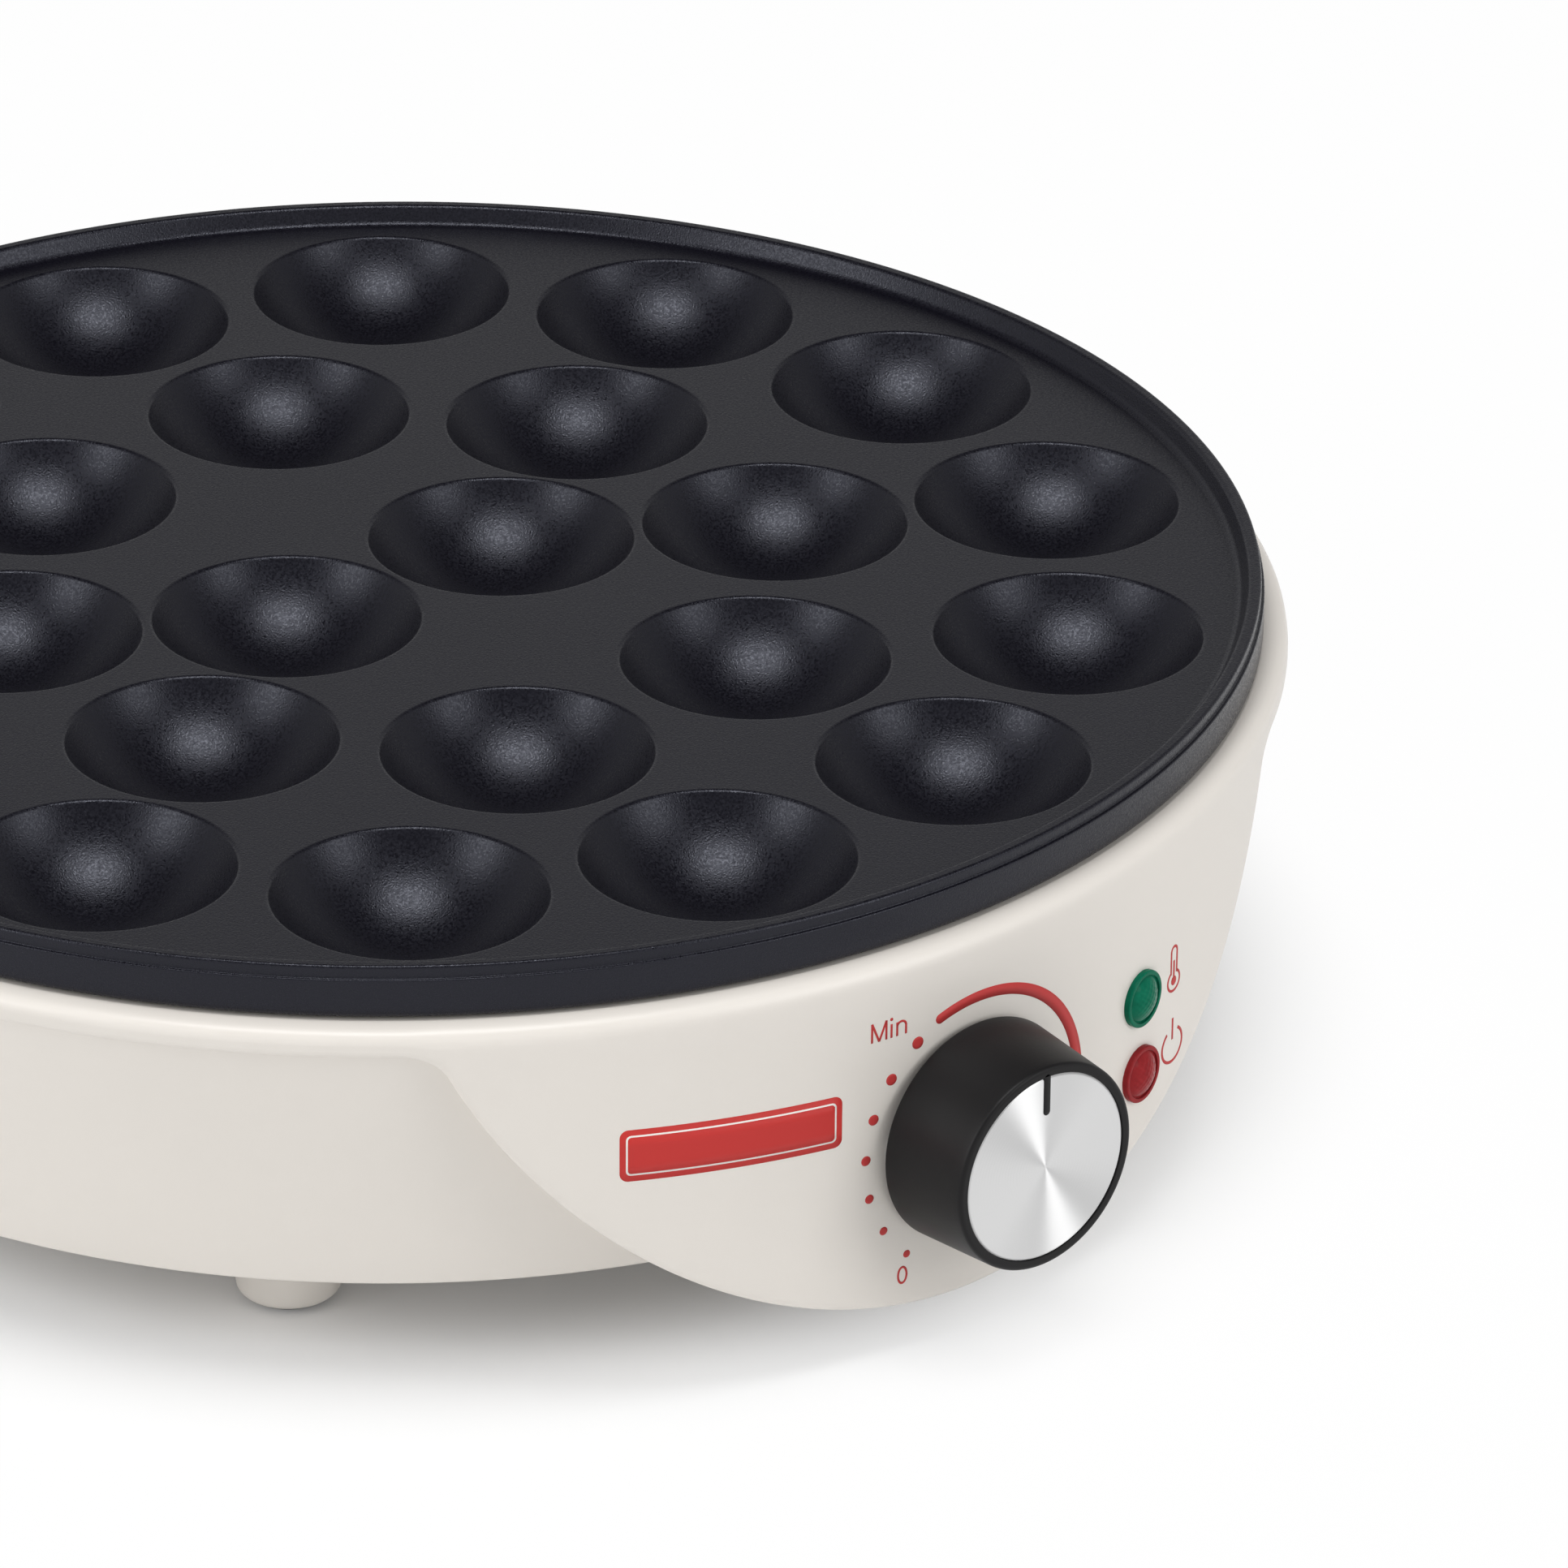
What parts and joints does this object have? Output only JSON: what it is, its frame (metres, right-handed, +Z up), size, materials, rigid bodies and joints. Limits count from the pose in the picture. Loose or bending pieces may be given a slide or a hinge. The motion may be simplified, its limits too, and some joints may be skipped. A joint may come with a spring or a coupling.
{
  "type": "mini pancake maker",
  "caption": "Round electric cooker for small pancakes: a dark plate with rings of cups on a cream drum casing, with a front panel, heat knob, lamps and short feet.",
  "frame": {"origin": "on the table, under the middle of the footprint including the knob", "axes": "+Z up, the control panel and its knob face -Y, +X to the right seen from the front"},
  "size_m": [0.2886, 0.306, 0.0777],
  "materials": {
    "nonstick_plate": "dark non-stick coating, fine grain",
    "cream_plastic": "satin moulded",
    "pad_rubber": "matte",
    "screw_steel": "zinc plated",
    "knob_plastic": "satin moulded",
    "spun_metal": "spun and lacquered",
    "spring_steel": "rolled",
    "brown_phenolic": "moulded",
    "brass_parts": "machined",
    "green_lens": "clear tinted",
    "red_lens": "clear tinted",
    "white_ceramic": "fired",
    "element_steel": "heat darkened",
    "shield_steel": "aluminised sheet",
    "copper_tube": "drawn",
    "brown_lead": "insulated",
    "black_lead": "insulated",
    "blue_lead": "insulated",
    "green_lead": "insulated",
    "white_lead": "insulated",
    "gland_rubber": "matte"
  },
  "bodies": {
    "chassis": {"cooking_plate": "nonstick_plate", "casing": "cream_plastic", "base_cover": "cream_plastic", "foot_front_left": "cream_plastic", "foot_front_right": "cream_plastic", "foot_rear_left": "cream_plastic", "foot_rear_right": "cream_plastic", "foot_pad_front_left": "pad_rubber", "foot_pad_front_right": "pad_rubber", "foot_pad_rear_left": "pad_rubber", "foot_pad_rear_right": "pad_rubber", "foot_screws": "screw_steel", "base_screws": "screw_steel", "thermostat_body": "brown_phenolic", "thermostat_plate": "screw_steel", "thermostat_terminals": "brass_parts", "thermostat_screws": "screw_steel", "shaft_bush": "brass_parts", "contact_leaf": "brass_parts", "heat_lamp_lens": "green_lens", "heat_lamp_bulb": "white_ceramic", "heat_lamp_ring": "white_ceramic", "heat_lamp_lead": "white_lead", "power_lamp_lens": "red_lens", "power_lamp_bulb": "white_ceramic", "power_lamp_ring": "white_ceramic", "power_lamp_lead": "white_lead", "heating_element": "element_steel", "element_beads": "white_ceramic", "element_pins": "screw_steel", "heat_shield": "shield_steel", "plate_spacers": "white_ceramic", "plate_screws": "screw_steel", "sensor_bulb": "brass_parts", "sensor_retainer": "screw_steel", "sensor_screw": "screw_steel", "capillary_tube": "copper_tube", "thermal_cutout": "brown_phenolic", "cutout_screws": "screw_steel", "terminal_block": "white_ceramic", "block_screws": "screw_steel", "earth_screw": "brass_parts", "earth_nut": "brass_parts", "cord_gland": "gland_rubber", "live_lead": "brown_lead", "load_lead": "black_lead", "element_lead": "black_lead", "neutral_lead": "blue_lead", "earth_lead": "green_lead"},
    "knob": {"knob": "knob_plastic", "knob_face": "spun_metal", "knob_spring": "spring_steel", "thermostat_shaft": "screw_steel"},
    "adjuster": {"adjusting_pin": "screw_steel"}
  },
  "joints": [
    {"name": "knob_turn", "type": "hinge", "parent": "chassis", "child": "knob", "pos_m": [0, -0.1356, 0.0354], "axis": [0, 1, 0], "range_deg": [-137, 100]},
    {"name": "pin_travel", "type": "slide", "parent": "chassis", "child": "adjuster", "axis": [0, 1, 0], "range_m": [-0.0006, 0.00045]}
  ],
  "couplings": [
    {"joint": "pin_travel", "follows": "knob_turn", "m_per_rad": 0.00023873}
  ]
}
